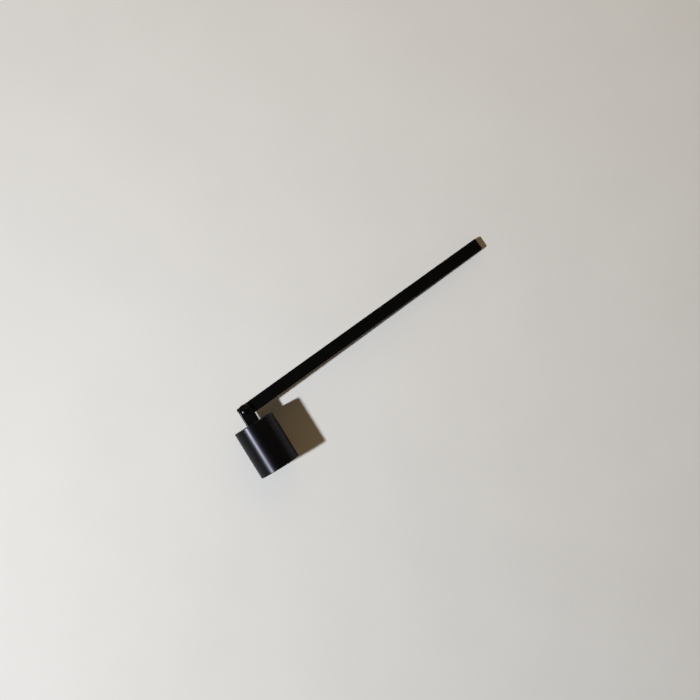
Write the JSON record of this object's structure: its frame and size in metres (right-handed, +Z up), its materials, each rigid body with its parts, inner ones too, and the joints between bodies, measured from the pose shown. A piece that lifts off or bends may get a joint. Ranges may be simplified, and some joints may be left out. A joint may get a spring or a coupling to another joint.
{
  "type": "candle snuffer",
  "caption": "Candle snuffer with a straight cylindrical bell that swings in a forked hinge at the end of a long flat bar handle, in satin black coated steel.",
  "frame": {"origin": "middle of the snuffer's footprint, on the floor that it lies on", "axes": "+X runs along the handle towards its tip, -Y points out of the bell's mouth, +Z is up"},
  "size_m": [0.1928, 0.0574, 0.027],
  "materials": {
    "satin_black_coat": "satin black coat",
    "black_oxide_steel": "black oxide",
    "black_nylon": "plain black nylon"
  },
  "bodies": {
    "handle": {"handle_bar": "satin_black_coat"},
    "bell": {"bell_cup": "satin_black_coat", "hinge_fork": "satin_black_coat", "hinge_post": "satin_black_coat", "hinge_screw": "satin_black_coat", "upper_washer": "black_nylon", "lower_washer": "black_nylon", "fork_screw": "black_oxide_steel", "fork_lock_washer": "black_oxide_steel"}
  },
  "joints": [
    {"name": "bell_swing", "type": "hinge", "parent": "handle", "child": "bell", "pos_m": [-0.08285, 0.01225, 0.0135], "axis": [0.0642, 0, 0.9979], "range_deg": [-194, 22]}
  ]
}
